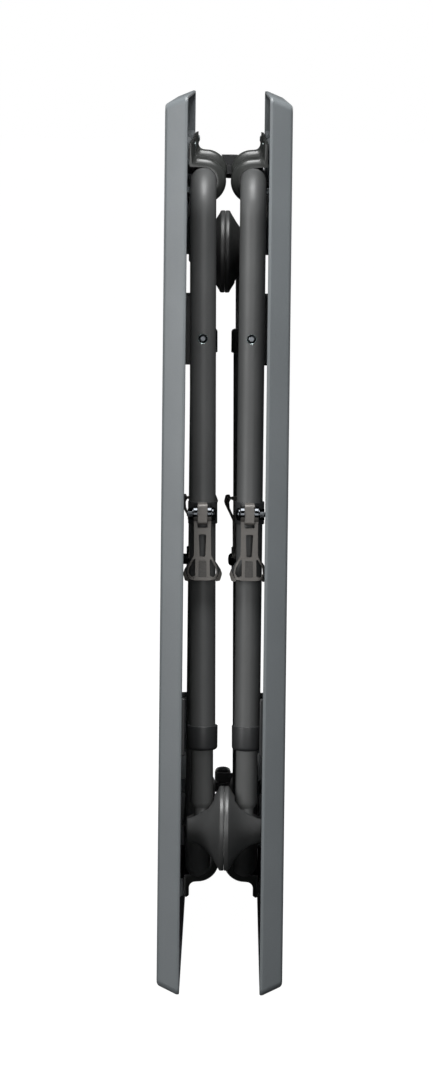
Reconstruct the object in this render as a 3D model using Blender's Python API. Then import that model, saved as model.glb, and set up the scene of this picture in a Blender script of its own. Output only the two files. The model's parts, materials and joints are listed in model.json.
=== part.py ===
"""A table that folds in half, closed and standing on its side edge, with four telescoping legs stowed.

X runs through the thickness of the closed table, Y along each half from the open end (-Y)
to the hinge line (+Y), and Z up the table's width. The origin lies under the middle of the
closed table. Every length is in metres.

Each leg is built once, as if it were the right half's upper leg: its crossbar lies along +Y
from the origin, the leg hangs down -Z, and +X points at its panel. An empty at the crossbar
mirrors and leans it into place."""

import math

import bmesh
import bpy
from mathutils import Vector

# The two half tops, shallow trays with their open sides facing each other.
WIDTH = 0.762
HALF_LENGTH = 0.762
RIM_X = 0.0349
FACE_X = 0.0536
WALL = 0.0024
FLOOR = 0.0025
RIM_FLAT = 0.0025
WALL_SLOPE = 0.007
CORNER_RADIUS = 0.006
CORNER_STEPS = 3
NOTCH_START = 0.162
NOTCH_LENGTH = 0.438
NOTCH_DEPTH = 0.010

# The hinge line, just past the halves' far edges.
BARREL_RADIUS = 0.008
HINGE_GAP = 0.0015
NEAR_Y = -(HALF_LENGTH + HINGE_GAP + BARREL_RADIUS) / 2
FAR_Y = NEAR_Y + HALF_LENGTH
HINGE_Y = FAR_Y + HINGE_GAP
HINGE_HEIGHT = 0.019
HINGE_PIN_RADIUS = 0.0029
HINGE_BORE_RADIUS = 0.0034
ARM_THICKNESS = 0.0045
ARM_INSET = 0.0090
ARM_REACH = 0.047
KNUCKLE_NECK = 0.0055

# The legs.
BAR_X = 0.0212
BAR_INSET = 0.0725
LEAN = math.asin(0.005 / 0.5515)
TUBE_RADIUS = 0.0111
BORE_RADIUS = 0.0099
BEND_RADIUS = 0.030
BEND_STEPS = 5
BORE_TOP = 0.095
HOLE_DROP = 0.132
HOLE_RADIUS = 0.00415
CLAMP_DROP = 0.280
COLLAR_DROP = 0.473
FOOT_DROP = 0.5515
SLIDER_RADIUS = 0.0093
SLIDER_BORE = 0.0077
SLIDER_TOP = 0.110
SLIDER_END = 0.530
BAR_END = HALF_LENGTH - 0.022
GAP = 0.0003
SIDES = 16

# Depth of each kind of leg from the open end, and the stretches that its saddles cover.
LEG_DEPTH = {"upper": 0.040, "lower": 0.222}
SADDLES = {
    "upper": ((0.075, 0.328), (0.484, 0.737)),
    "lower": ((0.262, 0.462), (0.537, 0.737)),
}
TAB_END = 0.0328
TAB_X = (0.0087, 0.0127)
ARM_Z = (0.0122, 0.0154)
SADDLE_INNER = 0.0114
SADDLE_OUTER = 0.0146
BOSS_INSET = 0.008

# The clamp on each leg, and its lever. The lower legs' clamps are turned a little round their tubes.
CLAMP_TURN = {"left_lower": math.radians(8), "right_lower": math.radians(-12)}
PIN_FORWARD = 0.0178
PIN_RADIUS = 0.0021
PIN_HOLE_RADIUS = 0.0026
BAND_RADIUS = TUBE_RADIUS + 0.0012
LUG_HALF_WIDTH = 0.004
LUG_HEIGHT = 0.019
LUG_FRONT = 0.0055
EAR_TOP = 0.0040
EAR_OUTSIDE = 0.0076
SLOT_END = 0.0115
WING_HALF_WIDTH = 0.0166
LEVER_LENGTH = 0.0575
LEVER_BACK = 0.0160
LEVER_FRONT = 0.0215
WINDOW = ((0.0052, -0.052), (0.0112, -0.052), (0.0072, -0.042))
PIN_HEAD = 0.0079
CAP_RADIUS = 0.0050
NUT_RADIUS = 0.0048

# The swivelling foot: distances run from its face towards the panel.
FOOT_FACE = 0.0185
FOOT_PROFILE = (
    (0.0000, 0.0345),
    (0.0015, 0.0364),
    (0.0039, 0.0364),
    (0.0069, 0.0316),
    (0.0097, 0.0261),
    (0.0134, 0.0211),
    (0.0170, 0.0174),
    (0.0222, 0.0141),
    (0.0280, 0.0122),
    (0.0319, 0.0111),
)
FOOT_SIDES = 24
NECK_RADIUS = 0.0062
SLOT_HALF_WIDTH = 0.0068
MOUTH_HALF_WIDTH = 0.0099
MOUTH_START = 0.0172
FOOT_PIN_RADIUS = 0.0024
FOOT_PIN_HOLE = 0.0029
FOOT_PIN_HALF = 0.0132

# The cradles that hold the stowed legs.
CRADLES = {"upper": (0.438, 0.487), "lower": (0.452, 0.514)}
CRADLE_HALF_WIDTH = 0.016
CRADLE_GROOVE = 0.0140
CRADLE_TOP = 0.0105


def clear_scene():
    for found in list(bpy.data.objects):
        bpy.data.objects.remove(found)


def material(name, colour, roughness, metallic):
    made = bpy.data.materials.new(name)
    made.use_nodes = True
    shader = made.node_tree.nodes["Principled BSDF"]
    shader.inputs["Base Color"].default_value = (*colour, 1)
    shader.inputs["Roughness"].default_value = roughness
    shader.inputs["Metallic"].default_value = metallic
    return made


def loft(loops, ring=False):
    """A closed body through loops of equally many points: capped at both ends, or joined into a ring."""
    shape = bmesh.new()
    rows = [[shape.verts.new(point) for point in loop] for loop in loops]
    pairs = list(zip(rows, rows[1:]))
    if ring:
        pairs.append((rows[-1], rows[0]))
    else:
        shape.faces.new(rows[0])
        shape.faces.new(rows[-1])
    count = len(rows[0])
    for first, second in pairs:
        for i in range(count):
            j = (i + 1) % count
            shape.faces.new((first[i], first[j], second[j], second[i]))
    bmesh.ops.recalc_face_normals(shape, faces=shape.faces)
    return shape


def circle(radius, sides=SIDES):
    """Points round a circle, turned so that a flat side faces each axis."""
    turns = [2 * math.pi * (i + 0.5) / sides for i in range(sides)]
    return [(radius * math.cos(turn), radius * math.sin(turn)) for turn in turns]


def turned(profile, axis, sides=SIDES, ring=False):
    """A body of revolution. The profile is pairs of (place along the axis, radius)."""
    place = {
        "X": lambda a, b, along: (along, a, b),
        "Y": lambda a, b, along: (a, along, b),
        "Z": lambda a, b, along: (a, b, along),
    }[axis]
    return loft([[place(a, b, along) for a, b in circle(radius, sides)] for along, radius in profile], ring)


def box(low, high):
    corners = ((low[0], low[1]), (high[0], low[1]), (high[0], high[1]), (low[0], high[1]))
    return loft([[(x, y, z) for x, y in corners] for z in (low[2], high[2])])


def cylinder(axis, start, end, radius, sides=SIDES, centre=(0, 0, 0)):
    shape = turned(((start, radius), (end, radius)), axis, sides)
    bmesh.ops.translate(shape, verts=shape.verts, vec=centre)
    return shape


def prism(outline, axis, start, end):
    """An outline extruded along an axis; its pairs are the other two axes, in X, Y, Z order."""
    place = {
        "X": lambda a, b, along: (along, a, b),
        "Y": lambda a, b, along: (a, along, b),
        "Z": lambda a, b, along: (a, b, along),
    }[axis]
    return loft([[place(a, b, along) for a, b in outline] for along in (start, end)])


def arc(radius, start, end, steps, centre=(0, 0)):
    """Points on an arc, with its angles in degrees."""
    turns = [math.radians(start + (end - start) * i / steps) for i in range(steps + 1)]
    return [(centre[0] + radius * math.cos(turn), centre[1] + radius * math.sin(turn)) for turn in turns]


def mesh_of(shape, name):
    mesh = bpy.data.meshes.new(name)
    shape.to_mesh(mesh)
    shape.free()
    return mesh


def carved(name, body, joined=(), cut=()):
    """The body's mesh, with some shapes joined to it and others cut from it."""
    base = bpy.data.objects.new(name, mesh_of(body, name))
    bpy.context.scene.collection.objects.link(base)
    helpers = []
    steps = [("UNION", shape) for shape in joined] + [("DIFFERENCE", shape) for shape in cut]
    for operation, shape in steps:
        tool = bpy.data.objects.new(f"{name}_tool", mesh_of(shape, f"{name}_tool"))
        bpy.context.scene.collection.objects.link(tool)
        helpers.append(tool)
        step = base.modifiers.new("carve", "BOOLEAN")
        step.operation = operation
        step.solver = "EXACT"
        step.object = tool
    bpy.context.view_layer.update()
    result = bpy.data.meshes.new_from_object(base.evaluated_get(bpy.context.evaluated_depsgraph_get()))
    result.name = name
    for helper in (base, *helpers):
        bpy.data.objects.remove(helper)
    return result


def place(name, mesh, finish, parent=None, location=(0, 0, 0), tilt=0.0, turn=0.0):
    """One named node. Its material is a copy of the finish under the node's own name."""
    node = bpy.data.objects.new(name, mesh.copy())
    own = finish.copy()
    own.name = name
    node.data.materials.clear()
    node.data.materials.append(own)
    node.data.shade_smooth()
    node.data.set_sharp_from_angle(angle=math.radians(35))
    node.parent = parent
    node.location = location
    node.rotation_euler.y = tilt
    node.rotation_euler.z = turn
    bpy.context.scene.collection.objects.link(node)
    return node


def empty(name, location, scale=(1, 1, 1), tilt=0.0):
    made = bpy.data.objects.new(name, None)
    made.location = location
    made.scale = scale
    made.rotation_euler.y = tilt
    bpy.context.scene.collection.objects.link(made)
    return made


def tray_loop(x, inset):
    """A rounded rectangle in a plane of constant x, inset from the tray's outline."""
    low_y, high_y = NEAR_Y + inset, FAR_Y - inset
    low_z, high_z = inset, WIDTH - inset
    radius = CORNER_RADIUS
    corners = (
        ((high_y - radius, high_z - radius), 0),
        ((low_y + radius, high_z - radius), 90),
        ((low_y + radius, low_z + radius), 180),
        ((high_y - radius, low_z + radius), 270),
    )
    points = []
    for centre, start in corners:
        points += arc(radius, start, start + 90, CORNER_STEPS, centre)
    return [(x, y, z) for y, z in points]


def boss(kind, stretch, end):
    """The pad under a saddle's tab; end is 1 for the tab nearer the table's edge."""
    bar_z = WIDTH - BAR_INSET if kind == "upper" else BAR_INSET
    outwards = end if kind == "upper" else -end
    span = sorted((bar_z + outwards * (ARM_Z[1] + 0.001), bar_z + outwards * (TAB_END + 0.001)))
    low_y = NEAR_Y + stretch[0] + BOSS_INSET
    high_y = NEAR_Y + stretch[1] - BOSS_INSET
    near_x = BAR_X + TAB_X[1] + GAP
    return box((near_x, low_y, span[0]), (FACE_X - FLOOR / 2, high_y, span[1]))


def tray():
    """One half of the top, on the +X side: a sheet floor, sloped walls, and pads for the saddles."""
    shape = loft(
        [
            tray_loop(FACE_X - FLOOR, WALL_SLOPE + WALL),
            tray_loop(RIM_X, WALL),
            tray_loop(RIM_X, 0),
            tray_loop(RIM_X + RIM_FLAT, 0),
            tray_loop(FACE_X - 0.0015, WALL_SLOPE - 0.0005),
            tray_loop(FACE_X, WALL_SLOPE + 0.002),
        ]
    )
    pads = [boss(kind, stretch, end) for kind in SADDLES for stretch in SADDLES[kind] for end in (1, -1)]
    notch = box(
        (RIM_X - 0.005, FAR_Y - 0.015, NOTCH_START),
        (RIM_X + NOTCH_DEPTH, FAR_Y + 0.005, NOTCH_START + NOTCH_LENGTH),
    )
    return carved("tray", shape, joined=pads, cut=[notch])


def saddle(length):
    """A strap over the crossbar, with a tab on each side that lies on the panel's pads."""
    upper_outer = [(TAB_X[0], ARM_Z[1]), (TAB_X[0], TAB_END)]
    upper_inner = [(TAB_X[1], TAB_END), (TAB_X[1], ARM_Z[0])]
    inner = arc(SADDLE_INNER, 90, 270, 8)
    lower_inner = [(TAB_X[1], -ARM_Z[0]), (TAB_X[1], -TAB_END)]
    lower_outer = [(TAB_X[0], -TAB_END), (TAB_X[0], -ARM_Z[1])]
    outer = arc(SADDLE_OUTER, 270, 90, 8)
    outline = upper_outer + upper_inner + inner + lower_inner + lower_outer + outer
    return mesh_of(prism(outline, "Y", 0, length), "saddle")


def leg_tube(bar_length):
    """The crossbar and the outer tube of one leg, bent from a single tube and bored for the slider."""
    loops = [[(a, bar_length, b) for a, b in circle(TUBE_RADIUS)]]
    for i in range(BEND_STEPS + 1):
        turn = math.pi / 2 * i / BEND_STEPS
        centre = Vector((0, BEND_RADIUS * (1 - math.sin(turn)), -BEND_RADIUS * (1 - math.cos(turn))))
        outwards = Vector((0, -math.sin(turn), math.cos(turn)))
        loops.append([centre + Vector((a, 0, 0)) + outwards * b for a, b in circle(TUBE_RADIUS)])
    for drop, radius in ((COLLAR_DROP, TUBE_RADIUS), (COLLAR_DROP, BORE_RADIUS), (BORE_TOP, BORE_RADIUS)):
        loops.append([(a, -b, -drop) for a, b in circle(radius)])
    hole = cylinder("Y", -0.02, -0.005, HOLE_RADIUS, 12, (0, 0, -HOLE_DROP))
    return carved("leg_tube", loft(loops), cut=[hole])


def slider():
    """The inner tube, open at its top and closed by the plug whose neck carries the foot."""
    shape = turned(
        (
            (-SLIDER_END + 0.008, SLIDER_BORE),
            (-SLIDER_TOP, SLIDER_BORE),
            (-SLIDER_TOP, SLIDER_RADIUS),
            (-SLIDER_END, SLIDER_RADIUS),
            (-SLIDER_END - 0.003, NECK_RADIUS + 0.0012),
            (-SLIDER_END - 0.0035, NECK_RADIUS),
            (-FOOT_DROP, NECK_RADIUS),
            (-FOOT_DROP - NECK_RADIUS * 0.6, NECK_RADIUS * 0.8),
            (-FOOT_DROP - NECK_RADIUS * 0.95, NECK_RADIUS * 0.3),
        ),
        "Z",
    )
    holes = [
        cylinder("Y", -0.02, 0.02, FOOT_PIN_HOLE, 12, (0, 0, -FOOT_DROP)),
        cylinder("Y", -0.02, -0.003, HOLE_RADIUS, 12, (0, 0, -HOLE_DROP)),
    ]
    return carved("slider", shape, cut=holes)


def button():
    """The spring button inside the slider, with its head in the slider's hole."""
    radius = HOLE_RADIUS - 0.0006
    profile = ((-0.0090, radius * 0.55), (-0.0084, radius), (-0.0030, radius))
    return mesh_of(turned(profile, "Y", 12), "button")


def collar():
    outside = TUBE_RADIUS + 0.002
    top = -COLLAR_DROP + 0.0105
    low = -COLLAR_DROP - 0.0105
    return mesh_of(
        turned(
            (
                (top, TUBE_RADIUS + GAP),
                (top, outside),
                (low + 0.0025, outside),
                (low, outside - 0.0015),
                (low, SLIDER_RADIUS + GAP),
                (-COLLAR_DROP - 0.0006, SLIDER_RADIUS + GAP),
                (-COLLAR_DROP - 0.0006, TUBE_RADIUS + GAP),
            ),
            "Z",
            ring=True,
        ),
        "collar",
    )


def end_plug():
    profile = ((GAP, TUBE_RADIUS), (0.003, TUBE_RADIUS), (0.004, TUBE_RADIUS * 0.8))
    return mesh_of(turned(profile, "Y"), "end_plug")


def clamp_band():
    """A band round the tube with the lug that the lever's pin passes through."""
    inside = TUBE_RADIUS + GAP
    half = LUG_HEIGHT / 2
    profile = ((half, inside), (half, BAND_RADIUS), (-half, BAND_RADIUS), (-half, inside))
    band = turned(profile, "Z", ring=True)
    bmesh.ops.translate(band, verts=band.verts, vec=(0, PIN_FORWARD, 0))
    back = PIN_FORWARD - (inside + BAND_RADIUS) / 2
    lug = box((-LUG_HALF_WIDTH, -LUG_FRONT, -half), (LUG_HALF_WIDTH, back, half))
    return carved("clamp_band", band, joined=[lug], cut=[cylinder("X", -0.01, 0.01, PIN_HOLE_RADIUS, 12)])


def lever():
    """The clamp's lever in front of the tube: two ears on the pin, a body, and wings at its tip."""
    ear_inside = LUG_HALF_WIDTH + GAP
    side = (
        (ear_inside, -SLOT_END),
        (ear_inside, EAR_TOP),
        (EAR_OUTSIDE, EAR_TOP),
        (EAR_OUTSIDE, -0.036),
        (0.0095, -0.046),
        (WING_HALF_WIDTH, -0.050),
        (WING_HALF_WIDTH - 0.001, -LEVER_LENGTH),
    )
    outline = list(side) + [(-x, z) for x, z in reversed(side)]
    body = prism(outline, "Y", -(LEVER_FRONT - PIN_FORWARD), PIN_FORWARD - LEVER_BACK)
    holes = [cylinder("X", -0.02, 0.02, PIN_HOLE_RADIUS, 12)]
    for mirror in (-1, 1):
        holes.append(prism([(mirror * x, z) for x, z in WINDOW], "Y", -0.02, 0.02))
    return carved("lever", body, cut=holes)


def clamp_pin():
    """The lever's pin: a round cap on the inner side and a nut on the side of the panel."""
    profile = (
        (-PIN_HEAD - 0.0036, CAP_RADIUS * 0.7),
        (-PIN_HEAD - 0.0026, CAP_RADIUS),
        (-PIN_HEAD, CAP_RADIUS),
        (-PIN_HEAD, PIN_RADIUS),
        (PIN_HEAD, PIN_RADIUS),
        (PIN_HEAD, NUT_RADIUS),
        (PIN_HEAD + 0.0046, NUT_RADIUS),
    )
    return mesh_of(turned(profile, "X", 12), "clamp_pin")


def foot():
    """A bell with its wide face towards the middle, slotted so that it can swivel on the leg's neck."""
    bell = turned([(along - FOOT_FACE, radius) for along, radius in FOOT_PROFILE], "X", FOOT_SIDES)
    slot = box((-SLOT_HALF_WIDTH, -SLOT_HALF_WIDTH, -SLOT_HALF_WIDTH), (0.03, SLOT_HALF_WIDTH, 0.03))
    mouth = box((-MOUTH_HALF_WIDTH, -MOUTH_HALF_WIDTH, MOUTH_START), (0.005, MOUTH_HALF_WIDTH, 0.04))
    hole = cylinder("Y", -FOOT_PIN_HALF - GAP, FOOT_PIN_HALF + GAP, FOOT_PIN_HOLE, 12)
    return carved("foot", bell, cut=[slot, mouth, hole])


def foot_pin():
    profile = ((-FOOT_PIN_HALF, FOOT_PIN_RADIUS), (FOOT_PIN_HALF, FOOT_PIN_RADIUS))
    return mesh_of(turned(profile, "Y", 12), "foot_pin")


def cradle(start, end):
    """A block on the panel's floor with a groove that the stowed leg drops into."""
    half, floor = CRADLE_HALF_WIDTH, FACE_X - FLOOR - GAP - BAR_X
    edge = math.degrees(math.asin(CRADLE_TOP / CRADLE_GROOVE))
    groove = arc(CRADLE_GROOVE, 90 - edge, edge - 90, 8)
    outline = [(CRADLE_TOP, half), *groove, (CRADLE_TOP, -half), (floor, -half), (floor, half)]
    return mesh_of(prism(outline, "Z", -end, -start), "cradle")


def hinge_arm():
    """One leaf: an arm bolted inside the tray and a knuckle on the hinge line, filling the upper half."""
    low, high = GAP, HINGE_HEIGHT / 2
    behind = -(HINGE_GAP + ARM_INSET)
    front = behind - ARM_THICKNESS
    arm = box((GAP, front, low), (ARM_REACH, behind, high))
    neck = box((-KNUCKLE_NECK, front, low), (KNUCKLE_NECK, 0, high))
    knuckle = cylinder("Z", low, high, BARREL_RADIUS)
    bore = cylinder("Z", -0.02, 0.02, HINGE_BORE_RADIUS, 12)
    return carved("hinge_arm", arm, joined=[neck, knuckle], cut=[bore])


def hinge_pin():
    half = HINGE_HEIGHT / 2
    head = BARREL_RADIUS - 0.0005
    profile = (
        (-half, HINGE_PIN_RADIUS),
        (half + GAP, HINGE_PIN_RADIUS),
        (half + GAP, head),
        (half + 0.0018, head),
        (half + 0.0036, head * 0.75),
        (half + 0.0045, head * 0.35),
    )
    return mesh_of(turned(profile, "Z"), "hinge_pin")


def build_leg(side, kind, meshes, finishes):
    """The leg of one half; side is 1 for the right half and -1 for the left."""
    name = f"{'right' if side > 0 else 'left'}_{kind}"
    upright = 1 if kind == "upper" else -1
    leans = side * upright < 0
    tilt = LEAN if leans else 0.0
    depth = LEG_DEPTH[kind]
    bar = (side * BAR_X, NEAR_Y + depth, WIDTH - BAR_INSET if upright > 0 else BAR_INSET)
    scale = (side, 1, upright)
    fixed = empty(f"{name}_pads", bar, scale)
    pivot = empty(f"{name}_pivot", bar, scale, tilt * side * upright)
    for number, (start, end) in enumerate(SADDLES[kind], 1):
        place(f"{name}_saddle_{number}", saddle(end - start), finishes["steel"], fixed, (0, start - depth, 0))
    place(f"{name}_cradle", cradle(*CRADLES[kind]), finishes["plastic"], fixed)
    place(f"{name}_leg_tube", leg_tube(BAR_END - depth), finishes["tube"], pivot)
    place(f"{name}_end_plug", meshes["end_plug"], finishes["plastic"], pivot, (0, BAR_END - depth, 0))
    place(f"{name}_collar", meshes["collar"], finishes["plastic"], pivot)
    place(f"{name}_slider", meshes["slider"], finishes["tube"], pivot)
    place(f"{name}_button", meshes["button"], finishes["chrome"], pivot, (0, 0, -HOLE_DROP))
    turn = CLAMP_TURN.get(name, 0.0)
    pin = (PIN_FORWARD * math.sin(turn), -PIN_FORWARD * math.cos(turn), -CLAMP_DROP)
    for piece, finish in (("clamp_band", "cast"), ("clamp_pin", "chrome"), ("lever", "cast")):
        place(f"{name}_{piece}", meshes[piece], finishes[finish], pivot, pin, turn=turn)
    place(f"{name}_foot", meshes["foot"], finishes["rubber"], pivot, (0, 0, -FOOT_DROP), -tilt)
    place(f"{name}_foot_pin", meshes["foot_pin"], finishes["steel"], pivot, (0, 0, -FOOT_DROP), -tilt)


def build_hinges(meshes, finishes):
    for kind, z in (("upper", WIDTH - BAR_INSET), ("lower", BAR_INSET)):
        for side, half in ((1, "right"), (-1, "left")):
            leaf = empty(f"{half}_{kind}_leaf", (0, HINGE_Y, z), (side, 1, side))
            place(f"{half}_{kind}_hinge_arm", meshes["hinge_arm"], finishes["steel"], leaf)
        inwards = empty(f"{kind}_inwards", (0, HINGE_Y, z), (1, 1, -1 if kind == "upper" else 1))
        place(f"{kind}_hinge_pin", meshes["hinge_pin"], finishes["steel"], inwards)


def main():
    clear_scene()
    finishes = {
        "panel": material("panel", (0.17, 0.18, 0.19), 0.45, 0.0),
        "tube": material("tube", (0.06, 0.06, 0.065), 0.38, 0.6),
        "steel": material("steel", (0.03, 0.03, 0.03), 0.42, 0.5),
        "plastic": material("plastic", (0.012, 0.013, 0.015), 0.5, 0.0),
        "rubber": material("rubber", (0.03, 0.031, 0.033), 0.55, 0.0),
        "cast": material("cast", (0.11, 0.105, 0.10), 0.4, 0.7),
        "chrome": material("chrome", (0.75, 0.75, 0.76), 0.15, 1.0),
    }
    meshes = {
        "collar": collar(),
        "end_plug": end_plug(),
        "slider": slider(),
        "button": button(),
        "clamp_band": clamp_band(),
        "clamp_pin": clamp_pin(),
        "lever": lever(),
        "foot": foot(),
        "foot_pin": foot_pin(),
        "hinge_arm": hinge_arm(),
        "hinge_pin": hinge_pin(),
    }
    half_top = tray()
    for side, half in ((1, "right"), (-1, "left")):
        mirror = empty(f"{half}_half", (0, 0, 0), (side, 1, 1))
        place(f"{half}_top", half_top, finishes["panel"], mirror)
        for kind in LEG_DEPTH:
            build_leg(side, kind, meshes, finishes)
    build_hinges(meshes, finishes)


main()
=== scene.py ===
"""The looks of the closed folding table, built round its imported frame.

Shapes are drawn in millimetres. A leg's pieces are drawn as if they belonged to the right
half's upper leg, in the leg's own frame: its crossbar lies along +Y from the origin, the leg
hangs down -Z, and +X points at its panel. leg_matrix mirrors and leans them into place."""

import json
import math

import bmesh
import bpy
from mathutils import Matrix, Vector


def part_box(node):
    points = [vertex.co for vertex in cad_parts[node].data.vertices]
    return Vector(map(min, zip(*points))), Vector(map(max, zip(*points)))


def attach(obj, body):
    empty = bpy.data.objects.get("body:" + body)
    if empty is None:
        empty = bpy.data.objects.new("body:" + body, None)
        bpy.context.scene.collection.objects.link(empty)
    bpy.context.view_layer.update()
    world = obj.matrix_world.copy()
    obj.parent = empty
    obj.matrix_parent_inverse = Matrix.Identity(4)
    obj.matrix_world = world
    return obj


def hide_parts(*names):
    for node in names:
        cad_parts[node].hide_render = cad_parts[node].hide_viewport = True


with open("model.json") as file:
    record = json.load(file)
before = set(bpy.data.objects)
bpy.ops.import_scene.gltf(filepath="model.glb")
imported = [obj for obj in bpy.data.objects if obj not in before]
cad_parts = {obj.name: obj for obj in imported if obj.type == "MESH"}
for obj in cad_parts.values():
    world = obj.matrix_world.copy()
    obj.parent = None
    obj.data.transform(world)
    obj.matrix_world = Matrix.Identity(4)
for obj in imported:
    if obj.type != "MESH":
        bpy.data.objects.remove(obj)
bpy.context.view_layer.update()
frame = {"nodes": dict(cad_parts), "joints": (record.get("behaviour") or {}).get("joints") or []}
JOINTS = {joint["name"]: joint for joint in frame["joints"]}
MM = 0.001
SIDES = (("left", -1), ("right", 1))
KINDS = (("upper", 1), ("lower", -1))

# The half tops: trays whose walls slope from the rim, and whose far wall has a notch.
TOP_LOW, TOP_HIGH = (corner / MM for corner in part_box("right_top"))
RIM_X, FACE_X = TOP_LOW.x, TOP_HIGH.x
FLOOR_X = FACE_X - 2.5
RIM_FLAT = 2.5
WALL = 2.4
WALL_SLOPE = 7.0
FLAT_BORDER = 12.0
CORNER_RADIUS = 6.0
NOTCH = (162.0, 600.0)
NOTCH_DEPTH = 10.0
PAD_START = 16.4
PAD_MARGIN = 1.2
PAD_INSET = 8.0
PAD_FILLET = 3.0

# The legs. BAR_X is where the right crossbars lie and BAR_END is where they stop along y. Each
# drop, top or end below them is a distance down from the crossbar.
BAR_X = JOINTS["right_upper_leg_fold"]["pos_m"][0] / MM
BAR_END = TOP_HIGH.y - 22.0
TUBE_RADIUS = 11.1
BORE_RADIUS = 9.9
BORE_TOP = 95.0
BEND_RADIUS = 30.0
HOLE_DROP = 132.0
HOLE_RADIUS = 4.15
COLLAR_DROP = 473.0
COLLAR_HALF = 10.5
COLLAR_WALL = 2.0
SLIDER_RADIUS = 9.3
SLIDER_BORE = 7.7
SLIDER_TOP = 110.0
SLIDER_END = 530.0
FOOT_DROP = 551.5
GAP = 0.3

# The cradles, blocks on the tray's floor with a groove for the tube.
CRADLE_HALF_WIDTH = 16.0
CRADLE_TOP = 10.5
GROOVE_RADIUS = 14.0

# The saddles, which follow flat tabs, short arms and a half circle. A line gives the tabs' place,
# the half circle's radius, the tabs' ends and the fillet between tab and arm.
TAB_END = 32.4
TAB_BACK = 12.2
STRAP_INSIDE = (TAB_BACK, 11.4, TAB_END - 0.5, 1.2)
STRAP_OUTSIDE = (9.6, 14.0, TAB_END, 2.6)
BEAD_OUTSIDE = (7.6, 19.3, TAB_END - 1.0, 5.6)
LIP = 1.0
BEAD_LENGTH = 12.0
BEAD_STEPS = 12
SCREW_INSET = 22.0
SCREW_REACH = 26.0

# The clamps, in a frame whose origin is on the lever's pin.
PIN_FORWARD = 17.8
BAND_RADIUS = 12.5
LUG_HALF_WIDTH = 4.0
LUG_HALF_HEIGHT = 9.5
EAR_INSIDE = 4.3
EAR_OUTSIDE = 7.4
EAR_RADIUS = 6.9
EAR_CLEARANCE = 0.7
LEVER_FRONT = -3.7
LEVER_BACK = 1.8
CURL = 0.052
CURL_WIDTH = 6.0
CURL_START = 26.0
CURL_LENGTH = 14.0
CAP_LIFT = 0.15
CAP_BOTTOM = -1.8
PIN_RADIUS = 2.1
PIN_HOLE = 2.6

# The feet. The face lies nearer the middle than the leg, and the bell's profile is pairs of
# (distance from the face towards the panel, radius).
FOOT_FACE = 18.66
BELL = (
    (0.0, 35.6),
    (0.25, 36.0),
    (0.6, 36.2),
    (2.0, 36.3),
    (3.4, 36.2),
    (4.2, 35.5),
    (5.2, 33.4),
    (7.0, 30.6),
    (9.7, 26.1),
    (13.4, 21.1),
    (17.0, 17.6),
    (22.2, 14.3),
    (28.0, 12.3),
    (31.2, 11.4),
    (31.9, 10.4),
)
FOOT_SLOT = 6.8
MOUTH_HALF_WIDTH = 9.9
MOUTH_START = 17.2
FOOT_PIN_HOLE = 2.9
FOOT_PIN_HALF = 13.5
NECK_RADIUS = 6.2
TREAD_RADII = (7.0, 11.0, 15.0, 19.0, 23.0, 27.0, 31.0)
TREAD_DEPTH = 0.7

# The hinges.
BARREL_RADIUS = 8.0
NECK_HALF_WIDTH = 5.5
HINGE_HALF_HEIGHT = 9.5
HINGE_BORE = 3.4
HINGE_PIN = 2.9
ARM_BEHIND = -10.5
ARM_THICKNESS = 4.5
ARM_REACH = 47.0

# The finishes: noise scales, the places of the ramps' ends, and shares of a finish's own numbers.
# The relief's depth is in metres.
DRIFT_SCALE = 14.0
DRIFT_RAMP = (0.3, 0.7)
SPECK_RAMP = (0.35, 0.65)
SPECK_SHARE = 0.8
UNEVEN_SCALE = 60.0
UNEVEN_RANGE = (0.86, 1.14)
PEBBLE_SHARE = 0.6
RELIEF_DEPTH = 0.0002

# The camera: its place in metres, its focal length in millimetres, and its turns in degrees.
CAMERA_PLACE = (0.00614, -4.49969, 0.79233)
FOCAL_LENGTH = 163.534
CAMERA_LEFT = 0.1767
CAMERA_DOWN = 5.590
CAMERA_ROLL = 0.6316


def scaled_colour(colour, factor):
    return (*(min(1.0, channel * factor) for channel in colour), 1)


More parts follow.
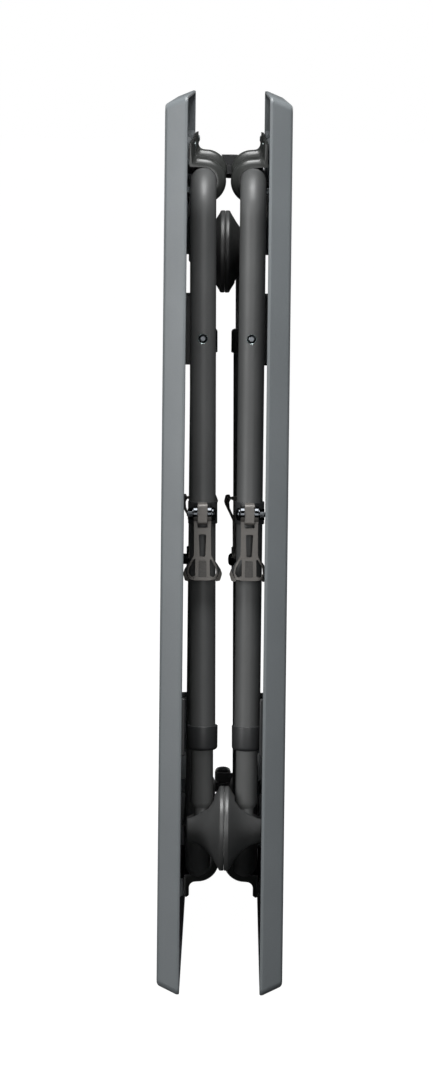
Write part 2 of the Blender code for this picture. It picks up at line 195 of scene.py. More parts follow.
def finish(name, colour, roughness, metallic=0.0, grain=1200.0, bump=0.15, spread=0.12, pebble=False,
           streak=(1, 1, 1)):
    """A procedural finish: slow colour drift and fine specks, an uneven roughness, and a fine relief.

    The relief is the specks' grain, or rounded pebbles. The drift and the roughness can be
    drawn out into streaks."""
    made = bpy.data.materials.new(name)
    made.use_nodes = True
    nodes, links = made.node_tree.nodes, made.node_tree.links
    shader = nodes["Principled BSDF"]
    shader.inputs["Metallic"].default_value = metallic
    place = nodes.new("ShaderNodeTexCoord")
    stretch = nodes.new("ShaderNodeMapping")
    stretch.inputs["Scale"].default_value = streak
    links.new(place.outputs["Object"], stretch.inputs["Vector"])

    def noise(scale, detail, source):
        made_noise = nodes.new("ShaderNodeTexNoise")
        made_noise.inputs["Scale"].default_value = scale
        made_noise.inputs["Detail"].default_value = detail
        links.new(source, made_noise.inputs["Vector"])
        return made_noise.outputs["Fac"]

    def ramp(source, places, low, high):
        made_ramp = nodes.new("ShaderNodeValToRGB")
        ends = made_ramp.color_ramp.elements
        ends[0].position, ends[1].position = places
        ends[0].color, ends[1].color = low, high
        links.new(source, made_ramp.inputs["Fac"])
        return made_ramp.outputs["Color"]

    slow = noise(DRIFT_SCALE, 5.0, stretch.outputs["Vector"])
    drift = ramp(slow, DRIFT_RAMP, scaled_colour(colour, 1 - spread), scaled_colour(colour, 1 + spread))
    fine = noise(grain, 3.0, place.outputs["Object"])
    white = (1, 1, 1)
    speck = ramp(fine, SPECK_RAMP, scaled_colour(white, 1 - spread * SPECK_SHARE), scaled_colour(white, 1))
    tint = nodes.new("ShaderNodeMix")
    tint.data_type = "RGBA"
    tint.blend_type = "MULTIPLY"
    tint.inputs["Factor"].default_value = 1.0
    links.new(drift, tint.inputs["A"])
    links.new(speck, tint.inputs["B"])
    links.new(tint.outputs["Result"], shader.inputs["Base Color"])

    uneven = nodes.new("ShaderNodeMapRange")
    uneven.inputs["To Min"].default_value = roughness * UNEVEN_RANGE[0]
    uneven.inputs["To Max"].default_value = roughness * UNEVEN_RANGE[1]
    links.new(noise(UNEVEN_SCALE, 4.0, stretch.outputs["Vector"]), uneven.inputs["Value"])
    links.new(uneven.outputs["Result"], shader.inputs["Roughness"])

    height = fine
    if pebble:
        cells = nodes.new("ShaderNodeTexVoronoi")
        cells.feature = "SMOOTH_F1"
        cells.inputs["Scale"].default_value = grain * PEBBLE_SHARE
        links.new(place.outputs["Object"], cells.inputs["Vector"])
        height = cells.outputs["Distance"]
    relief = nodes.new("ShaderNodeBump")
    relief.inputs["Strength"].default_value = bump
    relief.inputs["Distance"].default_value = RELIEF_DEPTH
    links.new(height, relief.inputs["Height"])
    links.new(relief.outputs["Normal"], shader.inputs["Normal"])
    return made


FINISHES = {
    "panel": finish("panel_plastic", (0.129, 0.142, 0.149), 0.46,
                    grain=1100, bump=0.22, spread=0.05, pebble=True),
    "tube": finish("tube_powder_coat", (0.074, 0.076, 0.076), 0.50, 0.12,
                   grain=1600, bump=0.16, spread=0.10),
    "inner": finish("inner_powder_coat", (0.150, 0.153, 0.151), 0.48, 0.12,
                    grain=1600, bump=0.16, spread=0.10),
    "steel": finish("bracket_powder_coat", (0.036, 0.038, 0.036), 0.34, 0.1,
                    grain=1400, bump=0.2, spread=0.12),
    "plastic": finish("black_plastic", (0.022, 0.023, 0.024), 0.45,
                      grain=1800, bump=0.18, spread=0.15),
    "rubber": finish("foot_rubber", (0.052, 0.053, 0.053), 0.42,
                     grain=1500, bump=0.2, spread=0.12),
    "cast": finish("cast_metal", (0.122, 0.115, 0.107), 0.50, 0.35,
                   grain=1300, bump=0.45, spread=0.16, pebble=True),
    "grip": finish("lever_grip", (0.058, 0.055, 0.052), 0.55, 0.2,
                   grain=900, bump=0.6, spread=0.3, pebble=True),
    "chrome": finish("chrome", (0.045, 0.048, 0.052), 0.12, 1.0,
                     grain=900, bump=0.05, spread=0.05, streak=(1, 1, 12)),
    "zinc": finish("dull_zinc", (0.15, 0.18, 0.18), 0.40, 0.7,
                   grain=1200, bump=0.1, spread=0.15),
    "bore": finish("bare_metal", (0.42, 0.50, 0.50), 0.28, 0.9,
                   grain=900, bump=0.08, spread=0.2, streak=(1, 12, 1)),
}


def rounded(corners, steps=4, closed=True):
    """An outline whose corners (x, y, radius) are filleted."""
    points = []
    count = len(corners)
    for i, (x, y, radius) in enumerate(corners):
        here = Vector((x, y))
        if radius <= 0 or (not closed and i in (0, count - 1)):
            points.append((x, y))
            continue
        back = (Vector(corners[i - 1][:2]) - here).normalized()
        ahead = (Vector(corners[(i + 1) % count][:2]) - here).normalized()
        half = back.angle(ahead) / 2
        centre = here + (back + ahead).normalized() * (radius / math.sin(half))
        first = here + back * (radius / math.tan(half)) - centre
        last = here + ahead * (radius / math.tan(half)) - centre
        swing = first.angle_signed(last)
        for step in range(steps + 1):
            turn = -swing * step / steps
            cos, sin = math.cos(turn), math.sin(turn)
            x_part = centre.x + first.x * cos - first.y * sin
            y_part = centre.y + first.x * sin + first.y * cos
            points.append((x_part, y_part))
    return points


def mirrored(side):
    """A closed outline from its +X side, listed from the top down."""
    return list(side) + [(-x, z, radius) for x, z, radius in reversed(side)]


def loft(loops, ring=False):
    """A closed body through loops of equally many points: capped at both ends, or joined into a ring."""
    shape = bmesh.new()
    rows = [[shape.verts.new(point) for point in loop] for loop in loops]
    pairs = list(zip(rows, rows[1:]))
    if ring:
        pairs.append((rows[-1], rows[0]))
    else:
        shape.faces.new(rows[0])
        shape.faces.new(rows[-1])
    count = len(rows[0])
    for first, second in pairs:
        for i in range(count):
            j = (i + 1) % count
            shape.faces.new((first[i], first[j], second[j], second[i]))
    bmesh.ops.recalc_face_normals(shape, faces=shape.faces)
    return shape


PLACES = {
    "X": lambda a, b, along: (along, a, b),
    "Y": lambda a, b, along: (a, along, b),
    "Z": lambda a, b, along: (a, b, along),
}


def circle(radius, sides):
    """A circle's points, with the first one half a step round so that flats face the axes."""
    turns = [2 * math.pi * (i + 0.5) / sides for i in range(sides)]
    return [(radius * math.cos(turn), radius * math.sin(turn)) for turn in turns]


def turned(profile, axis, sides=48, ring=False):
    """A body of revolution. The profile is pairs of (place along the axis, radius)."""
    place = PLACES[axis]
    loops = [[place(a, b, along) for a, b in circle(radius, sides)] for along, radius in profile]
    return loft(loops, ring)


def prism(outline, axis, start, end):
    """An outline drawn out along an axis."""
    place = PLACES[axis]
    return loft([[place(a, b, along) for a, b in outline] for along in (start, end)])


def box(low, high):
    corners = ((low[0], low[1]), (high[0], low[1]), (high[0], high[1]), (low[0], high[1]))
    return prism(corners, "Z", low[2], high[2])


def rod(radius, axis, reach, sides=24):
    """A cylinder that reaches as far to either side of the origin, for cutting a hole."""
    return turned(((-reach, radius), (reach, radius)), axis, sides)


def moved(shape, vector):
    bmesh.ops.translate(shape, verts=shape.verts, vec=vector)
    return shape


def together(*shapes):
    """Several bodies in one bmesh, left as they are."""
    base = bmesh.new()
    for shape in shapes:
        spare = bpy.data.meshes.new("spare")
        shape.to_mesh(spare)
        shape.free()
        base.from_mesh(spare)
        bpy.data.meshes.remove(spare)
    return base


def carved(body, joined=(), cut=()):
    """The body with some shapes joined to it and others cut from it."""
    def helper(shape):
        mesh = bpy.data.meshes.new("helper")
        shape.to_mesh(mesh)
        shape.free()
        made = bpy.data.objects.new("helper", mesh)
        bpy.context.scene.collection.objects.link(made)
        return made

    base = helper(body)
    tools = [("UNION", helper(shape)) for shape in joined]
    tools += [("DIFFERENCE", helper(shape)) for shape in cut]
    for operation, tool in tools:
        step = base.modifiers.new("carve", "BOOLEAN")
        step.operation = operation
        step.solver = "EXACT"
        step.object = tool
    bpy.context.view_layer.update()
    result = bmesh.new()
    result.from_object(base, bpy.context.evaluated_depsgraph_get())
    for made in [base] + [tool for _, tool in tools]:
        mesh = made.data
        bpy.data.objects.remove(made)
        bpy.data.meshes.remove(mesh)
    return result


def add(name, shape, matrix, body, look, stands_for=(), bevel=0.0, smooth=38):
    """One visible piece, put in place. It rides on a body, and it may stand for CAD nodes."""
    bmesh.ops.transform(shape, matrix=matrix @ Matrix.Scale(MM, 4), verts=shape.verts)
    if matrix.determinant() < 0:
        bmesh.ops.reverse_faces(shape, faces=shape.faces)
    mesh = bpy.data.meshes.new(name)
    shape.to_mesh(mesh)
    shape.free()
    mesh.materials.append(FINISHES[look])
    mesh.shade_smooth()
    mesh.set_sharp_from_angle(angle=math.radians(smooth))
    piece = bpy.data.objects.new(name, mesh)
    bpy.context.scene.collection.objects.link(piece)
    if bevel:
        edge = piece.modifiers.new("edges", "BEVEL")
        edge.width = bevel * MM
        edge.segments = 2
        edge.limit_method = "ANGLE"
        edge.angle_limit = math.radians(smooth)
        edge.use_clamp_overlap = True
        weighted = piece.modifiers.new("normals", "WEIGHTED_NORMAL")
        weighted.keep_sharp = True
    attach(piece, body)
    if stands_for:
        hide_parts(*stands_for)
    return piece


def tray_profile():
    """(x, inset) from the floor inside, over the rim, to the face outside."""
    slope = WALL_SLOPE / (FACE_X - RIM_X)
    inside_floor = (FLOOR_X - RIM_X) * slope + WALL
    corners = [
        (FLOOR_X, inside_floor + FLAT_BORDER, 0),
        (FLOOR_X, inside_floor, 3.0),
        (RIM_X, WALL, 0.5),
        (RIM_X, 0.0, 1.0),
        (RIM_X + RIM_FLAT, 0.0, 2.0),
        (FACE_X, WALL_SLOPE, 4.0),
        (FACE_X, WALL_SLOPE + FLAT_BORDER, 0),
    ]
    return rounded(corners, 7, closed=False)


def tray_loop(x, inset):
    """The tray's rounded rectangle at one height, inset from its rim's."""
    low_y, high_y = TOP_LOW.y + inset, TOP_HIGH.y - inset
    low_z, high_z = TOP_LOW.z + inset, TOP_HIGH.z - inset
    outline = ((high_y, high_z), (low_y, high_z), (low_y, low_z), (high_y, low_z))
    return [(x, y, z) for y, z in rounded([(y, z, CORNER_RADIUS) for y, z in outline], 6)]


def pad(bar_z, outwards, low_y, high_y):
    """The rounded boss that a saddle's tab is screwed to."""
    near_x = BAR_X + TAB_BACK + 2 * GAP
    low, high = sorted((bar_z + outwards * PAD_START, bar_z + outwards * (TAB_END + PAD_MARGIN)))
    outline = [
        (near_x, low, PAD_FILLET),
        (near_x, high, PAD_FILLET),
        (FLOOR_X + 1, high, 0),
        (FLOOR_X + 1, low, 0),
    ]
    return prism(rounded(outline), "Y", low_y + PAD_INSET, high_y - PAD_INSET)


def half_top(side_name, side):
    """One tray, with the pads for its saddles and the notch in its far wall."""
    shape = loft([tray_loop(x, inset) for x, inset in tray_profile()])
    pads = []
    for kind, _ in KINDS:
        bar_z = JOINTS[f"{side_name}_{kind}_leg_fold"]["pos_m"][2] / MM
        for number in (1, 2):
            low, high = (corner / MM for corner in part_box(f"{side_name}_{kind}_saddle_{number}"))
            pads += [pad(bar_z, end, low.y, high.y) for end in (1, -1)]
    notch = box((RIM_X - 5, TOP_HIGH.y - 15, NOTCH[0]), (RIM_X + NOTCH_DEPTH, TOP_HIGH.y + 5, NOTCH[1]))
    shape = carved(shape, joined=pads, cut=[notch])
    matrix = Matrix.Diagonal((side, 1, 1, 1))
    node = f"{side_name}_top"
    add(f"{side_name}_table_top", shape, matrix, f"{side_name}_half", "panel", [node], smooth=32)


def saddle_line(tab, arm, end, fillet):
    """One of the strap's long lines, from one tab's end over the tube to the other's."""
    corners = [(tab, end, 0), (tab, arm + 0.6, fillet), (1.0, arm + 0.1, 2.0), (0.0, arm, 0)]
    upper = rounded(corners, 6, closed=False)
    turns = [math.radians(90 + 180 * i / 24) for i in range(1, 24)]
    over = [(arm * math.cos(turn), arm * math.sin(turn)) for turn in turns]
    return [Vector(point) for point in upper + over + [(x, -z) for x, z in reversed(upper)]]


def saddle(length):
    """A pressed strap with a thin lip and then a tall rounded bead along its near edge."""
    inside, outside, crest = (saddle_line(*line) for line in (STRAP_INSIDE, STRAP_OUTSIDE, BEAD_OUTSIDE))
    parts = [i / BEAD_STEPS for i in range(BEAD_STEPS + 1)]
    shares = [(LIP + BEAD_LENGTH * part, math.sin(math.pi * part) ** 0.3) for part in parts]
    stations = [(0.0, -0.2), (0.4, 0.0), *shares, (length - 0.5, 0.0), (length, -0.2)]
    loops = []
    for y, share in stations:
        outer = [low.lerp(high, share) for low, high in zip(outside, crest)]
        loops.append([(point.x, y, point.y) for point in outer + inside[::-1]])
    return loft(loops)


def screw_head():
    """A domed head with a crossed slot."""
    head = turned(((0.0, 3.4), (-0.6, 3.4), (-1.2, 2.8), (-1.5, 1.7), (-1.6, 0.6)), "X", 24)
    slots = [box((-3, -0.45, -1.9), (-0.8, 0.45, 1.9)), box((-3, -1.9, -0.45), (-0.8, 1.9, 0.45))]
    return carved(head, cut=slots)


def saddle_screws(length):
    heads = []
    for y in (SCREW_INSET, length / 2, length - SCREW_INSET):
        for z in (SCREW_REACH, -SCREW_REACH):
            heads.append(moved(screw_head(), (STRAP_OUTSIDE[0], y, z)))
    return together(*heads)


def leg_tube(bar_length):
    """The crossbar, the bend and the outer leg tube, whose bore starts at its lower end."""
    sides = 56
    steps = 14
    loops = [[(a, bar_length, b) for a, b in circle(TUBE_RADIUS, sides)]]
    for i in range(steps + 1):
        turn = math.pi / 2 * i / steps
        centre = Vector((0, BEND_RADIUS * (1 - math.sin(turn)), -BEND_RADIUS * (1 - math.cos(turn))))
        outwards = Vector((0, -math.sin(turn), math.cos(turn)))
        loops.append([centre + Vector((a, 0, 0)) + outwards * b for a, b in circle(TUBE_RADIUS, sides)])
    ends = ((COLLAR_DROP, TUBE_RADIUS), (COLLAR_DROP, BORE_RADIUS), (BORE_TOP, BORE_RADIUS))
    for drop, radius in ends:
        loops.append([(a, -b, -drop) for a, b in circle(radius, sides)])
    hole = moved(turned(((-20, HOLE_RADIUS), (-5, HOLE_RADIUS)), "Y", 32), (0, 0, -HOLE_DROP))
    return carved(loft(loops), cut=[hole])


def hole_ring():
    """The bare edge of the button's hole, seen inside the tube's wall."""
    profile = (
        (-TUBE_RADIUS + 0.4, HOLE_RADIUS),
        (-BORE_RADIUS, HOLE_RADIUS),
        (-BORE_RADIUS, HOLE_RADIUS - 0.5),
        (-TUBE_RADIUS + 0.7, HOLE_RADIUS - 0.35),
    )
    return moved(turned(profile, "Y", 32, ring=True), (0, 0, -HOLE_DROP))


def slider():
    """The inner leg tube, which ends in a solid neck for the foot."""
    profile = (
        (-SLIDER_END + 8, SLIDER_BORE),
        (-SLIDER_TOP, SLIDER_BORE),
        (-SLIDER_TOP, SLIDER_RADIUS),
        (-SLIDER_END + 0.8, SLIDER_RADIUS),
        (-SLIDER_END, SLIDER_RADIUS - 0.6),
        (-SLIDER_END - 2.4, NECK_RADIUS + 1.4),
        (-SLIDER_END - 3.5, NECK_RADIUS),
        (-FOOT_DROP, NECK_RADIUS),
        (-FOOT_DROP - 2.2, NECK_RADIUS * 0.93),
        (-FOOT_DROP - 4.2, NECK_RADIUS * 0.72),
        (-FOOT_DROP - 5.8, NECK_RADIUS * 0.3),
    )
    holes = [
        moved(rod(FOOT_PIN_HOLE, "Y", 20), (0, 0, -FOOT_DROP)),
        moved(turned(((-20, HOLE_RADIUS), (-3, HOLE_RADIUS)), "Y", 24), (0, 0, -HOLE_DROP)),
    ]
    return carved(turned(profile, "Z"), cut=holes)


def collar():
    """The ring over the outer tube's end, stepped in to the inner tube below it."""
    top, low = -COLLAR_DROP + COLLAR_HALF, -COLLAR_DROP - COLLAR_HALF
    outside = TUBE_RADIUS + COLLAR_WALL
    inner = SLIDER_RADIUS + GAP
    outline = [
        (top, TUBE_RADIUS + GAP, 0),
        (top, outside, 0.6),
        (low, outside - 0.2, 3.0),
        (low, inner, 0.4),
        (-COLLAR_DROP - 0.6, inner, 0),
        (-COLLAR_DROP - 0.6, TUBE_RADIUS + GAP, 0),
    ]
    return turned(rounded(outline, 5), "Z", 64, ring=True)


def clamp_band():
    """The thin band round the tube, cut away where the lever's ears turn."""
    inside = TUBE_RADIUS + GAP
    half = LUG_HALF_HEIGHT
    outline = [
        (half, inside, 0.2),
        (half, BAND_RADIUS, 0.4),
        (-half, BAND_RADIUS, 0.4),
        (-half, inside, 0.2),
    ]
    band = moved(turned(rounded(outline, 3), "Z", 64, ring=True), (0, PIN_FORWARD, 0))
    cuts = []
    clear = EAR_RADIUS + EAR_CLEARANCE
    for mirror in (-1, 1):
        reach = sorted((mirror * (LUG_HALF_WIDTH + 0.05), mirror * (EAR_OUTSIDE + 0.4)))
        cuts.append(box((reach[0], 2.0, -clear), (reach[1], PIN_FORWARD - 8.0, clear)))
    return carved(band, cut=cuts)


def clamp_lug():
    """The band's tall lug, which the lever's pin passes through."""
    half = LUG_HALF_HEIGHT
    back = PIN_FORWARD - BAND_RADIUS + 0.1
    side = [
        (-5.5, half - 0.8, 2.6),
        (back, half - 0.2, 0),
        (back, 0.2 - half, 0),
        (-5.5, 0.8 - half, 2.6),
    ]
    lug = prism(rounded(side, 6), "X", -LUG_HALF_WIDTH, LUG_HALF_WIDTH)
    return carved(lug, cut=[rod(PIN_HOLE, "X", 12)])


def curled(shape):
    """The shape with the sides of its lower end bent back round the tube."""
    for vert in shape.verts:
        share = min(1.0, max(0.0, (-vert.co.z - CURL_START) / CURL_LENGTH))
        beyond = max(0.0, abs(vert.co.x) - CURL_WIDTH) * share
        vert.co.y += CURL * beyond ** 2
    return shape


def lever():
    """Two round ears on the pin, a slotted body, and an open, flared end that hugs the tube."""
    side = [
        (EAR_INSIDE, 2.0, 0),
        (EAR_OUTSIDE, 2.0, 0),
        (EAR_OUTSIDE, -6.0, 3.0),
        (7.1, -14.0, 3.0),
        (7.3, -35.0, 3.0),
        (12.2, -44.5, 5.0),
        (13.0, -51.0, 3.0),
        (10.8, -55.4, 1.5),
        (5.5, -56.2, 1.0),
    ]
    fork = [(EAR_INSIDE, -11.5, 0.8)]
    outline = rounded(mirrored(fork + side))
    body = prism(outline, "Y", LEVER_FRONT, LEVER_BACK)
    wing = [
        (10.5, -55.2, 0.5),
        (12.9, -53.6, 1.0),
        (15.3, -47.4, 0.3),
        (16.6, -51.5, 1.0),
        (14.9, -57.0, 1.0),
        (11.6, -57.4, 0.8),
    ]
    window = [
        (6.1, -38.0, 0.5),
        (7.5, -38.3, 0.8),
        (11.2, -45.4, 3.0),
        (11.7, -50.6, 1.8),
        (9.6, -53.9, 0.8),
        (6.2, -52.6, 0.8),
    ]
    joined, cuts = [], [rod(PIN_HOLE, "X", 20)]
    for mirror in (-1, 1):
        ends = ((mirror * EAR_INSIDE, EAR_RADIUS), (mirror * EAR_OUTSIDE, EAR_RADIUS))
        joined.append(turned(ends, "X", 48))
        joined.append(prism([(mirror * x, z) for x, z in rounded(wing, 3)], "Y", -1.8, 2.4))
        cuts.append(prism([(mirror * x, z) for x, z in rounded(window, 4)], "Y", -20, 20))
    opening = rounded([(3.2, -17.0, 1.3), (2.3, -36.4, 1.4), (-2.3, -36.4, 1.4), (-3.2, -17.0, 1.3)])
    recess = rounded([(3.3, -39.2, 0.8), (3.6, -53.6, 0.8), (-3.6, -53.6, 0.8), (-3.3, -39.2, 0.8)])
    cuts.append(prism(opening, "Y", -20, 20))
    cuts.append(prism(recess, "Y", LEVER_FRONT - 2, LEVER_FRONT + 0.5))
    shape = carved(body, joined=joined, cut=cuts)
    # Slices across the flared end, so that it can bend smoothly.
    for x in range(int(CURL_WIDTH), 17):
        for mirror in (-1, 1):
            geometry = shape.verts[:] + shape.edges[:] + shape.faces[:]
            plane = (mirror * x, 0, 0)
            bmesh.ops.bisect_plane(shape, geom=geometry, plane_co=plane, plane_no=(1, 0, 0))
    return curled(shape)


def lever_shade_plates():
    """Dark plates, set back between the lever's thin arms and its wings: painted shade, standing in for
    the shade that fills the recess there.
    """
    outline = [
        (7.6, -36.6, 0.5),
        (11.9, -41.8, 2.0),
        (15.4, -47.6, 0.5),
        (14.4, -54.0, 0.5),
        (11.0, -55.0, 0.5),
        (12.7, -50.0, 0.5),
        (11.4, -43.6, 1.0),
    ]
    sides = []
    for mirror in (-1, 1):
        sides.append(prism([(mirror * x, z) for x, z in rounded(outline, 3)], "Y", -0.4, 1.4))
    shade_plates = together(*sides)
    bmesh.ops.triangulate(shade_plates, faces=shade_plates.faces)
    return curled(shade_plates)


def ear_caps():
    """Polished caps over the upper half of the lever's ears."""
    caps = []
    radius = EAR_RADIUS + CAP_LIFT
    for mirror in (-1, 1):
        ends = ((mirror * (EAR_INSIDE + 0.05), radius), (mirror * (EAR_OUTSIDE + CAP_LIFT), radius))
        lower = box((-9, -9, -9), (9, 9, CAP_BOTTOM))
        caps.append(carved(turned(ends, "X", 48), cut=[lower, rod(PIN_HOLE, "X", 20)]))
    return together(*caps)


def grip():
    """The rough pad set into the lever's front."""
    outline = rounded([(3.1, -39.5, 0.7), (3.4, -53.3, 0.7), (-3.4, -53.3, 0.7), (-3.1, -39.5, 0.7)])
    return prism(outline, "Y", LEVER_FRONT + 0.1, LEVER_FRONT + 0.45)


def clamp_pin():
    """The pin with a domed cap on the inner side, and a washer and hexagonal nut towards the panel."""
    cap = (
        (-11.6, 2.2),
        (-11.1, 4.2),
        (-10.2, 5.3),
        (-9.0, 5.6),
        (-8.1, 5.6),
        (-7.9, 5.3),
        (-7.9, PIN_RADIUS),
    )
    shaft = (
        (7.7, PIN_RADIUS),
        (7.7, 5.2),
        (8.5, 5.2),
        (8.5, PIN_RADIUS),
        (13.0, PIN_RADIUS),
        (13.4, 1.5),
    )
    turns = [math.radians(60 * i + 30) for i in range(6)]
    hexagon = rounded([(4.8 * math.cos(turn), 4.8 * math.sin(turn), 0.5) for turn in turns], 2)
    nut = prism(hexagon, "X", 8.6, 12.6)
    return together(turned(cap + shaft, "X", 32), nut)


def foot():
    """A bell with grooved tread on its face, slotted so that it can swivel on the leg's neck."""
    tread = [(0.0, 5.0)]
    for radius in TREAD_RADII:
        tread += [(0.0, radius - 0.9), (TREAD_DEPTH, radius - 0.4)]
        tread += [(TREAD_DEPTH, radius + 0.4), (0.0, radius + 0.9)]
    bell = turned([(along - FOOT_FACE, radius) for along, radius in (*tread, *BELL)], "X", 96)
    slot = box((-FOOT_SLOT, -FOOT_SLOT, -FOOT_SLOT), (30, FOOT_SLOT, 30))
    mouth = box((-MOUTH_HALF_WIDTH, -MOUTH_HALF_WIDTH, MOUTH_START), (5, MOUTH_HALF_WIDTH, 40))
    hole = rod(FOOT_PIN_HOLE, "Y", FOOT_PIN_HALF)
    return carved(bell, cut=[slot, mouth, hole])


def cradle(start, end):
    """A block between two drops, whose groove holds the tube."""
    half, top = CRADLE_HALF_WIDTH, CRADLE_TOP
    floor = FLOOR_X - GAP - BAR_X
    edge = math.degrees(math.asin(top / GROOVE_RADIUS))
    turns = [math.radians((90 - edge) * (1 - i / 10)) for i in range(21)]
    curve = [(GROOVE_RADIUS * math.cos(turn), GROOVE_RADIUS * math.sin(turn)) for turn in turns]
    outline = [(top, half), *curve, (top, -half), (floor, -half), (floor, half)]
    return prism(outline, "Z", -end, -start)


def hinge_arm():
    """One half's leaf: an arm across the tray, a neck and a knuckle on the pin."""
    low, high = GAP, HINGE_HALF_HEIGHT
    front = ARM_BEHIND - ARM_THICKNESS
    arm = box((GAP, front, low), (ARM_REACH, ARM_BEHIND, high))
    neck = box((-NECK_HALF_WIDTH, front, low), (NECK_HALF_WIDTH, 0, high))
    knuckle = turned(((low, BARREL_RADIUS), (high, BARREL_RADIUS)), "Z", 48)
    bore = rod(HINGE_BORE, "Z", 20, 32)
    return carved(arm, joined=[neck, knuckle], cut=[bore])


def hinge_pin():
    """The pin, drawn with its domed head upwards."""
    half = HINGE_HALF_HEIGHT
    head = BARREL_RADIUS - 0.5
    profile = (
        (-half, HINGE_PIN),
        (half + GAP, HINGE_PIN),
        (half + GAP, head),
        (half + 1.2, head),
        (half + 2.6, head * 0.9),
        (half + 3.7, head * 0.68),
        (half + 4.3, head * 0.4),
        (half + 4.5, head * 0.1),
    )
    return turned(profile, "Z", 48)


def leg_matrix(name, side, upright):
    """Where a leg's own frame lies: at its crossbar, mirrored, and leaning as its inner tube slides.

    It also gives the lean, the crossbar's place and the mirroring."""
    way = Vector(JOINTS[f"{name}_telescope"]["axis"])
    lean = math.atan2(-side * way.x, -upright * way.z)
    bar = Vector(JOINTS[f"{name}_leg_fold"]["pos_m"])
    mirror = Matrix.Diagonal((side, 1, upright, 1))
    matrix = Matrix.Translation(bar) @ Matrix.Rotation(lean * side * upright, 4, "Y") @ mirror
    return matrix, lean, bar, mirror


def shifted(matrix, *vector):
    """The matrix, moved by millimetres along its own axes."""
    return matrix @ Matrix.Translation(Vector(vector) * MM)


def clamp_matrix(name, matrix):
    """Where the lever's pin lies: in front of the tube, which the clamp may be turned round."""
    pin = matrix.inverted() @ Vector(JOINTS[f"{name}_lever_turn"]["pos_m"])
    round_tube = Matrix.Rotation(math.atan2(pin.x, -pin.y), 4, "Z")
    return shifted(matrix @ Matrix.Translation((0, 0, pin.z)) @ round_tube, 0, -PIN_FORWARD, 0)


def build_leg(side_name, side, kind, upright):
    name = f"{side_name}_{kind}"
    matrix, lean, bar, mirror = leg_matrix(name, side, upright)
    upright_matrix = Matrix.Translation(bar) @ mirror
    half, leg, inner = f"{side_name}_half", f"{name}_leg", f"{name}_inner_leg"
    lever_body = f"{name}_lever_body"
    bar_y = bar.y / MM
    for number in (1, 2):
        low, high = (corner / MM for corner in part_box(f"{name}_saddle_{number}"))
        length = high.y - low.y
        place = shifted(upright_matrix, 0, low.y - bar_y, 0)
        node = f"{name}_saddle_{number}"
        add(f"{name}_strap_{number}", saddle(length), place, half, "steel", [node], smooth=50)
        add(f"{name}_screws_{number}", saddle_screws(length), place, half, "zinc")
    span = sorted(abs(corner.z - bar.z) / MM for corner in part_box(f"{name}_cradle"))
    block = [f"{name}_cradle"]
    add(f"{name}_leg_cradle", cradle(*span), upright_matrix, half, "plastic", block, bevel=0.8)
    add(f"{name}_outer_tube", leg_tube(BAR_END - bar_y), matrix, leg, "tube", [f"{name}_leg_tube"])
    add(f"{name}_hole_edge", hole_ring(), matrix, leg, "bore")
    add(f"{name}_leg_collar", collar(), matrix, leg, "plastic", [f"{name}_collar"])
    add(f"{name}_inner_tube", slider(), matrix, inner, "inner", [f"{name}_slider"])
    clamp = clamp_matrix(name, matrix)
    add(f"{name}_band", clamp_band(), clamp, leg, "plastic", [f"{name}_clamp_band"])
    add(f"{name}_lug", clamp_lug(), clamp, leg, "cast", bevel=0.3)
    add(f"{name}_bolt", clamp_pin(), clamp, leg, "chrome", [f"{name}_clamp_pin"], bevel=0.2)
    add(f"{name}_clamp_lever", lever(), clamp, lever_body, "cast", [f"{name}_lever"], bevel=0.35)
    # Near-black plates in the recess between the lever's thin arms and wings: painted shade.
    add(f"{name}_lever_shade_plates", lever_shade_plates(), clamp, lever_body, "plastic")
    add(f"{name}_ear_caps", ear_caps(), clamp, lever_body, "chrome", bevel=0.4)
    add(f"{name}_lever_grip", grip(), clamp, lever_body, "grip")
    swivel = shifted(matrix, 0, 0, -FOOT_DROP) @ Matrix.Rotation(-lean, 4, "Y")
    bell = [f"{name}_foot"]
    add(f"{name}_foot_bell", foot(), swivel, f"{name}_foot_body", "rubber", bell, smooth=30)


def build_hinges():
    for kind, upright in KINDS:
        centre = Vector(JOINTS["table_fold"]["pos_m"])
        centre.z = JOINTS[f"left_{kind}_leg_fold"]["pos_m"][2]
        for side_name, side in SIDES:
            place = Matrix.Translation(centre) @ Matrix.Diagonal((side, 1, side, 1))
            half = f"{side_name}_half"
            node = f"{side_name}_{kind}_hinge_arm"
            leaf = f"{side_name}_{kind}_leaf"
            add(leaf, hinge_arm(), place, half, "plastic", [node], bevel=0.5)
        place = Matrix.Translation(centre) @ Matrix.Diagonal((1, 1, -upright, 1))
        pin = f"{kind}_hinge_pin"
        add(f"{kind}_pivot", hinge_pin(), place, "left_half", "plastic", [pin])


def finish_cad_nodes():
    """The small CAD nodes whose shape is right keep it, and get a finish."""
    looks = {"end_plug": "plastic", "button": "chrome", "foot_pin": "steel"}
    for name, node in frame["nodes"].items():
        for ending, look in looks.items():
            if name.endswith(ending):
                node.data.materials.clear()
                node.data.materials.append(FINISHES[look])


def glow(name, colour, strength, share):
    """A pale stage finish: part of it glows, so that shadows on it stay faint."""
    made = bpy.data.materials.new(name)
    made.use_nodes = True
    shader = made.node_tree.nodes["Principled BSDF"]
    shader.inputs["Base Color"].default_value = (*(channel * (1 - share) for channel in colour), 1)
    shader.inputs["Roughness"].default_value = 1.0
    shader.inputs["Specular IOR Level"].default_value = 0.0
    shader.inputs["Emission Color"].default_value = (*colour, 1)
    shader.inputs["Emission Strength"].default_value = strength
    return made


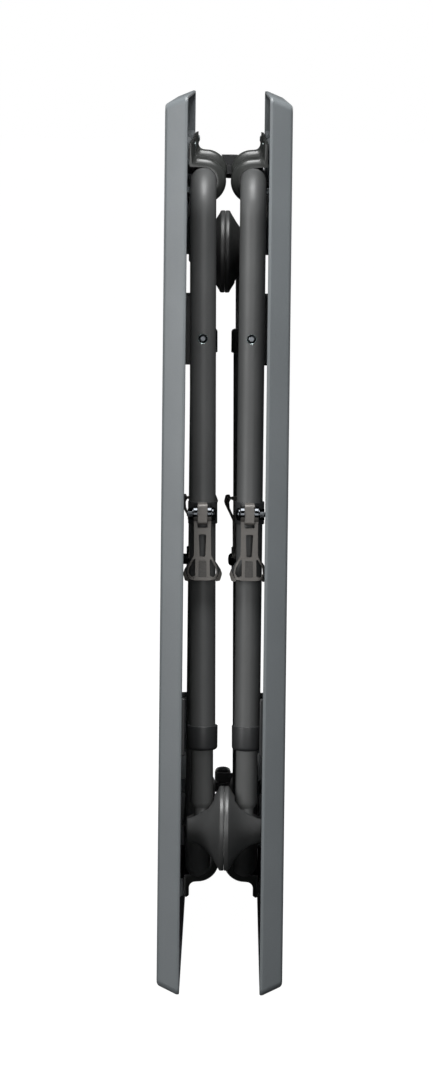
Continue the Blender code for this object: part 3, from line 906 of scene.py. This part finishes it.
def build_stage():
    """A white floor and a white dome behind everything, in metres."""
    reach = 45.0
    turns = [math.pi * i / 24 for i in range(48)]
    disc = [(reach * math.cos(turn), reach * math.sin(turn)) for turn in turns]
    ground = prism(disc, "Z", -0.02, -0.0008)
    dome = bmesh.new()
    bmesh.ops.create_uvsphere(dome, u_segments=48, v_segments=24, radius=reach * 0.98)
    for name, shape, material in (
        ("floor", ground, glow("floor_white", (1.0, 1.0, 1.0), 1.0, 0.92)),
        ("backdrop", dome, glow("backdrop_white", (1.0, 1.0, 1.0), 1.0, 1.0)),
    ):
        mesh = bpy.data.meshes.new(name)
        shape.to_mesh(mesh)
        shape.free()
        mesh.materials.append(material)
        made = bpy.data.objects.new(name, mesh)
        made.visible_diffuse = False
        made.visible_glossy = False
        made.visible_transmission = False
        made.visible_shadow = False
        bpy.context.scene.collection.objects.link(made)


def area_light(name, place, target, size, power):
    lamp = bpy.data.lights.new(name, "AREA")
    lamp.shape = "RECTANGLE"
    lamp.size, lamp.size_y = size
    lamp.energy = power
    made = bpy.data.objects.new(name, lamp)
    made.location = place
    made.rotation_euler = (Vector(target) - Vector(place)).to_track_quat("-Z", "Y").to_euler()
    made.visible_camera = False
    bpy.context.scene.collection.objects.link(made)


def build_lights():
    """Where each light stands, its size in metres and its power in watts."""
    middle = (0, 0, 0.4)
    area_light("key_left", (-2.6, -3.2, 1.1), middle, (1.6, 2.2), 92)
    area_light("front", (0.5, -4.2, 1.0), middle, (1.2, 1.8), 40)
    area_light("above", (0.0, -1.0, 3.0), middle, (1.6, 1.6), 150)
    area_light("right", (3.0, -1.8, 1.2), middle, (1.6, 2.2), 8)
    area_light("behind_right", (2.6, 3.4, 1.8), middle, (2.0, 2.0), 35)
    area_light("behind_left", (-2.8, 3.0, 1.6), middle, (2.0, 2.0), 35)
    world = bpy.data.worlds.new("studio")
    world.use_nodes = True
    sky = world.node_tree.nodes["Background"]
    sky.inputs["Color"].default_value = (0.95, 0.98, 1.0, 1)
    sky.inputs["Strength"].default_value = 0.04
    bpy.context.scene.world = world
    bpy.context.scene.view_settings.view_transform = "Standard"


def build_camera():
    data = bpy.data.cameras.new("camera")
    data.lens = FOCAL_LENGTH
    data.sensor_width = 36.0
    data.clip_end = 200.0
    camera = bpy.data.objects.new("camera", data)
    turn = Matrix.Rotation(math.radians(CAMERA_LEFT), 4, "Z")
    turn = turn @ Matrix.Rotation(math.pi / 2 - math.radians(CAMERA_DOWN), 4, "X")
    turn = turn @ Matrix.Rotation(math.radians(CAMERA_ROLL), 4, "Z")
    camera.matrix_world = Matrix.Translation(CAMERA_PLACE) @ turn
    bpy.context.scene.collection.objects.link(camera)
    bpy.context.scene.camera = camera


build_camera()
build_lights()
build_stage()
for side_name, side in SIDES:
    half_top(side_name, side)
    for kind, upright in KINDS:
        build_leg(side_name, side, kind, upright)
build_hinges()
finish_cad_nodes()
